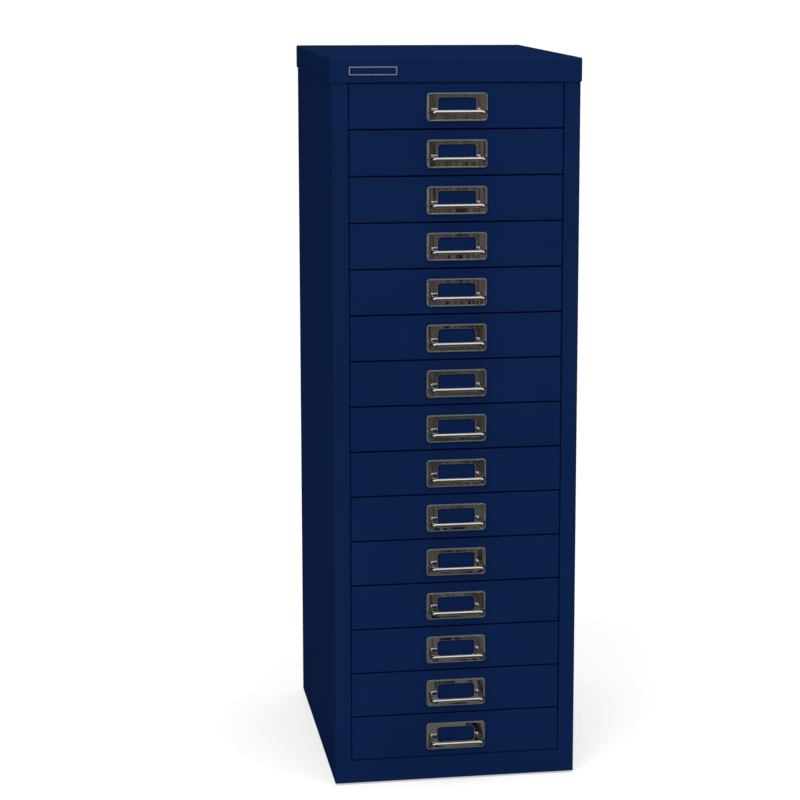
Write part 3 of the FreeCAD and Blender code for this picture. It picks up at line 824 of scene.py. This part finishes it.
class CABINET_OT_label_frames(bpy.types.Operator):
    """Plated label frames with a rounded rim and a rolled window"""

    bl_idname = "cabinet.label_frames"
    bl_label = "Label frames"

    def execute(self, context):
        sizes, colours = settings()
        plate = bright_metal("chrome_plate_field", tuple(colours.chrome), **PLATE_FINISH)
        # This material's dark grey-blue base is painted reflection of the fronts and dim room
        # round the frames' rolled edges; its higher roughness is the real duller plating.
        rim = bright_metal("chrome_rim_with_painted_reflection", tuple(colours.rim), **RIM_FINISH)
        for number, node in enumerate(drawer_names("label_frame"), start=1):
            rings = frame_rings(*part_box(node), sizes)
            name = node.replace("label_frame", "card_frame")
            piece = lofted_piece(name, rings, (rim, plate), closed=True)
            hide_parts(node)
            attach(piece, "drawer_%02d" % number)
        return {"FINISHED"}


class CABINET_OT_pull_bows(bpy.types.Operator):
    """Plated pull bows with their screws"""

    bl_idname = "cabinet.pull_bows"
    bl_label = "Pull bows"

    def execute(self, context):
        colours = settings()[1]
        made = bright_metal("chrome_bow", tuple(colours.chrome), **BOW_FINISH)
        finish_nodes(drawer_names("pull_bow"), made)
        return {"FINISHED"}


class CABINET_OT_runners(bpy.types.Operator):
    """Zinc plate on the runner channels"""

    bl_idname = "cabinet.runners"
    bl_label = "Runners"

    def execute(self, context):
        colours = settings()[1]
        finish_nodes(RUNNER_NODES, bright_metal("zinc", tuple(colours.zinc), **ZINC_FINISH))
        return {"FINISHED"}


class CABINET_OT_rivets(bpy.types.Operator):
    """Aluminium rivets of the back panel"""

    bl_idname = "cabinet.rivets"
    bl_label = "Rivets"

    def execute(self, context):
        colours = settings()[1]
        made = bright_metal("rivet_metal", tuple(colours.aluminium), **RIVET_FINISH)
        finish_nodes(("back_panel_rivets",), made)
        return {"FINISHED"}


class CABINET_OT_glides(bpy.types.Operator):
    """Black nylon glides under the base"""

    bl_idname = "cabinet.glides"
    bl_label = "Glides"

    def execute(self, context):
        colours = settings()[1]
        finish_nodes(("foot_glides",), nylon("glide_nylon", tuple(colours.nylon)))
        return {"FINISHED"}


class CABINET_OT_badge(bpy.types.Operator):
    """Blank badge on the cap: a satin strip with a field of enamel"""

    bl_idname = "cabinet.badge"
    bl_label = "Badge"

    def execute(self, context):
        sizes, colours = settings()
        made = bright_metal("badge_satin", tuple(colours.badge), **BADGE_FINISH)
        finish_nodes(("badge_strip",), made)
        low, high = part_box("badge_strip")
        middle, half_width, half_height = front_of(low, high)
        edge = sizes.badge_rim
        thick = sizes.badge_enamel

        def field(inset):
            return rounded_outline(
                middle, half_width - edge - inset, half_height - edge - inset, edge - inset
            )

        rings = [
            Ring(field(0.0), low.y + thick / 2, 1.0, 0.0, 0),
            Ring(field(0.0), low.y, 1.0, 0.0, 0),
            Ring(field(thick), low.y - thick, 0.0, 1.0, 0),
        ]
        enamel = navy_paint("badge_enamel", sizes, colours, dust=0.0)
        piece = lofted_piece("badge_enamel", rings, (enamel,), closed=False)
        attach(piece, CARCASS_BODY)
        return {"FINISHED"}


def card(name, corners, made):
    """A flat card of the stage."""
    mesh = bpy.data.meshes.new(name)
    mesh.from_pydata(corners, [], [(0, 1, 2, 3)])
    mesh.materials.append(made)
    item = added_object(name, mesh)
    return item


def upright_corners(start, end, top):
    """Corners of a card that stands on the floor from start to end."""
    return [(*start, 0), (*end, 0), (*end, top), (*start, top)]


def floor_material(colour):
    """Pale floor that looks white to cameras and mirrors and still takes the shadow."""
    made, bench, shader = blank_material("floor_pale")
    cloud = bench.noise(bench.object_place(), FLOOR_CLOUDS, detail=2.0, roughness=0.5)
    bench.join(bench.mixed(cloud, *shades(colour, FLOOR_TONES)), shader.inputs["Base Color"])
    shader.inputs["Roughness"].default_value = FLOOR_ROUGHNESS
    shader.inputs["Specular IOR Level"].default_value = 0.0
    shader.inputs["Emission Color"].default_value = WHITE
    glow = bench.math("MULTIPLY", bench.seen_directly(), FLOOR_GLOW)
    bench.join(glow, shader.inputs["Emission Strength"])
    return made


def flag_material(name, colour, band_scale, near_boost):
    """Dark card with soft bands, brighter near the cabinet by near_boost."""
    made = bpy.data.materials.new(name)
    bench = cleared_bench(made)
    place = bench.object_place()
    cloud = bench.noise(bench.scaled(place, band_scale), 1.0, detail=2.0, roughness=0.5)
    bands = bench.stretch(cloud, BAND_RANGE, WHOLE)
    parts = bench.add("ShaderNodeSeparateXYZ")
    bench.join(place, parts.inputs[0])
    glow = bench.add("ShaderNodeEmission")
    bench.join(bench.mixed(bands, *shades(colour, BAND_TONES)), glow.inputs["Color"])
    strength = bench.stretch(parts.outputs["Y"], NEAR_RANGE, (1.0, near_boost))
    bench.join(strength, glow.inputs["Strength"])
    out = bench.add("ShaderNodeOutputMaterial")
    bench.join(glow.outputs[0], out.inputs["Surface"])
    return made


def set_flags(colours):
    """Dark cards round the cabinet that only mirrors see."""
    upright = flag_material("flag_upright", tuple(colours.flag), UPRIGHT_BANDS, 1.0)
    lying = flag_material("flag_lying", tuple(colours.low_flag), LYING_BANDS, LYING_NEAR_BOOST)
    front = [(x, FLAG_FRONT_Y) for x in FLAG_FRONT_X]
    behind = [(x, FLAG_BACK_Y) for x in FLAG_BACK_X]
    left, right = ([(x, y) for y in FLAG_SIDE_Y] for x in (-FLAG_SIDE_X, FLAG_SIDE_X))
    ground = [*front, (FLAG_SIDE_X, FLAG_BACK_Y), (-FLAG_SIDE_X, FLAG_BACK_Y)]
    flags = (
        ("flag_front", upright_corners(*front, FLAG_FRONT_TOP), upright),
        ("flag_behind", upright_corners(*behind, FLAG_TOP), upright),
        ("flag_left", upright_corners(*left, FLAG_TOP), upright),
        ("flag_right", upright_corners(*right, FLAG_TOP), upright),
        ("flag_floor", [(*corner, FLAG_FLOOR_Z) for corner in ground], lying),
    )
    for name, corners, made in flags:
        item = card(name, corners, made)
        item.visible_camera = False
        item.visible_diffuse = False
        item.visible_shadow = False
        item.visible_transmission = False


def set_world():
    """White world for what is seen directly, and plainer light on the cabinet."""
    world = bpy.data.worlds.new("studio")
    bpy.context.scene.world = world
    bench = cleared_bench(world)
    strength = bench.stretch(bench.seen_directly(), WHOLE, WORLD_STRENGTHS)
    sky = bench.add("ShaderNodeBackground")
    sky.inputs["Color"].default_value = WHITE
    bench.join(strength, sky.inputs["Strength"])
    out = bench.add("ShaderNodeOutputWorld")
    bench.join(sky.outputs[0], out.inputs["Surface"])


def aimed_lamp(name, data, towards):
    """A lamp whose light travels along towards, and which mirrors don't see."""
    item = added_object(name, data)
    item.rotation_mode = "QUATERNION"
    item.rotation_quaternion = towards.to_track_quat("-Z", "Y")
    item.visible_glossy = False
    return item


def set_lamps():
    """Soft suns round the cabinet and a softbox over it."""
    for name, towards, strength, angle in SUNS:
        data = bpy.data.lights.new(name, "SUN")
        data.energy = strength
        data.angle = math.radians(angle)
        aimed_lamp(name, data, Vector(towards))
    data = bpy.data.lights.new("top_softbox", "AREA")
    data.shape = "RECTANGLE"
    data.size, data.size_y = SOFTBOX_SIZE
    data.energy = SOFTBOX_POWER
    place = Vector(SOFTBOX_PLACE)
    softbox = aimed_lamp("top_softbox", data, Vector(SOFTBOX_TARGET) - place)
    softbox.location = place


def set_camera():
    """The photograph's camera: yaw, then pitch, then roll, with the lens off centre."""
    yaw, pitch, roll = (math.radians(turn) for turn in (CAMERA_YAW, CAMERA_PITCH, CAMERA_ROLL))
    right = Vector((math.cos(yaw), math.sin(yaw), 0.0))
    level = Vector((-math.sin(yaw), math.cos(yaw), 0.0))
    up = Vector((0.0, 0.0, 1.0))
    forward = math.cos(pitch) * level + math.sin(pitch) * up
    tilted = -math.sin(pitch) * level + math.cos(pitch) * up
    rolled_right = math.cos(roll) * right + math.sin(roll) * tilted
    rolled_up = -math.sin(roll) * right + math.cos(roll) * tilted
    data = bpy.data.cameras.new("photo_camera")
    data.sensor_width = SENSOR_MM
    data.lens = CAMERA_FOCAL_PX / PHOTO_PX * SENSOR_MM
    data.shift_x = (PHOTO_PX / 2 - CAMERA_CENTRE_PX[0]) / PHOTO_PX
    data.shift_y = (CAMERA_CENTRE_PX[1] - PHOTO_PX / 2) / PHOTO_PX
    data.clip_start, data.clip_end = CAMERA_CLIP
    item = added_object("photo_camera", data)
    turned = Matrix((rolled_right, rolled_up, -forward)).transposed().to_4x4()
    item.matrix_world = Matrix.Translation(Vector(CAMERA_PLACE)) @ turned
    bpy.context.scene.camera = item


class CABINET_OT_stage(bpy.types.Operator):
    """Pale floor, soft lamps, dark flags for reflections, and the camera"""

    bl_idname = "cabinet.stage"
    bl_label = "Stage"

    def execute(self, context):
        colours = settings()[1]
        reach = FLOOR_REACH
        corners = [(-reach, -reach, 0), (reach, -reach, 0), (reach, reach, 0), (-reach, reach, 0)]
        card("floor", corners, floor_material(tuple(colours.floor)))
        set_flags(colours)
        set_world()
        set_lamps()
        set_camera()
        context.scene.view_settings.view_transform = "Standard"
        return {"FINISHED"}


OPERATORS = (
    CABINET_OT_carcass,
    CABINET_OT_drawers,
    CABINET_OT_label_frames,
    CABINET_OT_pull_bows,
    CABINET_OT_runners,
    CABINET_OT_rivets,
    CABINET_OT_glides,
    CABINET_OT_badge,
    CABINET_OT_stage,
)


class CABINET_PT_panel(bpy.types.Panel):
    """Lists the cabinet's pieces and its stage"""

    bl_idname = "CABINET_PT_panel"
    bl_label = "Cabinet"
    bl_space_type = "VIEW_3D"
    bl_region_type = "UI"
    bl_category = "Cabinet"

    def draw(self, context):
        for group in (context.scene.cabinet_sizes, context.scene.cabinet_colours):
            for name in group.__annotations__:
                self.layout.prop(group, name)
        for operator in OPERATORS:
            self.layout.operator(operator.bl_idname)


CLASSES = (CabinetSizes, CabinetColours, *OPERATORS, CABINET_PT_panel)


def register():
    for item in CLASSES:
        bpy.utils.register_class(item)
    bpy.types.Scene.cabinet_sizes = bpy.props.PointerProperty(type=CabinetSizes)
    bpy.types.Scene.cabinet_colours = bpy.props.PointerProperty(type=CabinetColours)


def unregister():
    del bpy.types.Scene.cabinet_colours
    del bpy.types.Scene.cabinet_sizes
    for item in reversed(CLASSES):
        bpy.utils.unregister_class(item)


def main():
    register()
    bpy.ops.cabinet.carcass()
    bpy.ops.cabinet.drawers()
    bpy.ops.cabinet.label_frames()
    bpy.ops.cabinet.pull_bows()
    bpy.ops.cabinet.runners()
    bpy.ops.cabinet.rivets()
    bpy.ops.cabinet.glides()
    bpy.ops.cabinet.badge()
    bpy.ops.cabinet.stage()


if __name__ == "__main__":
    main()
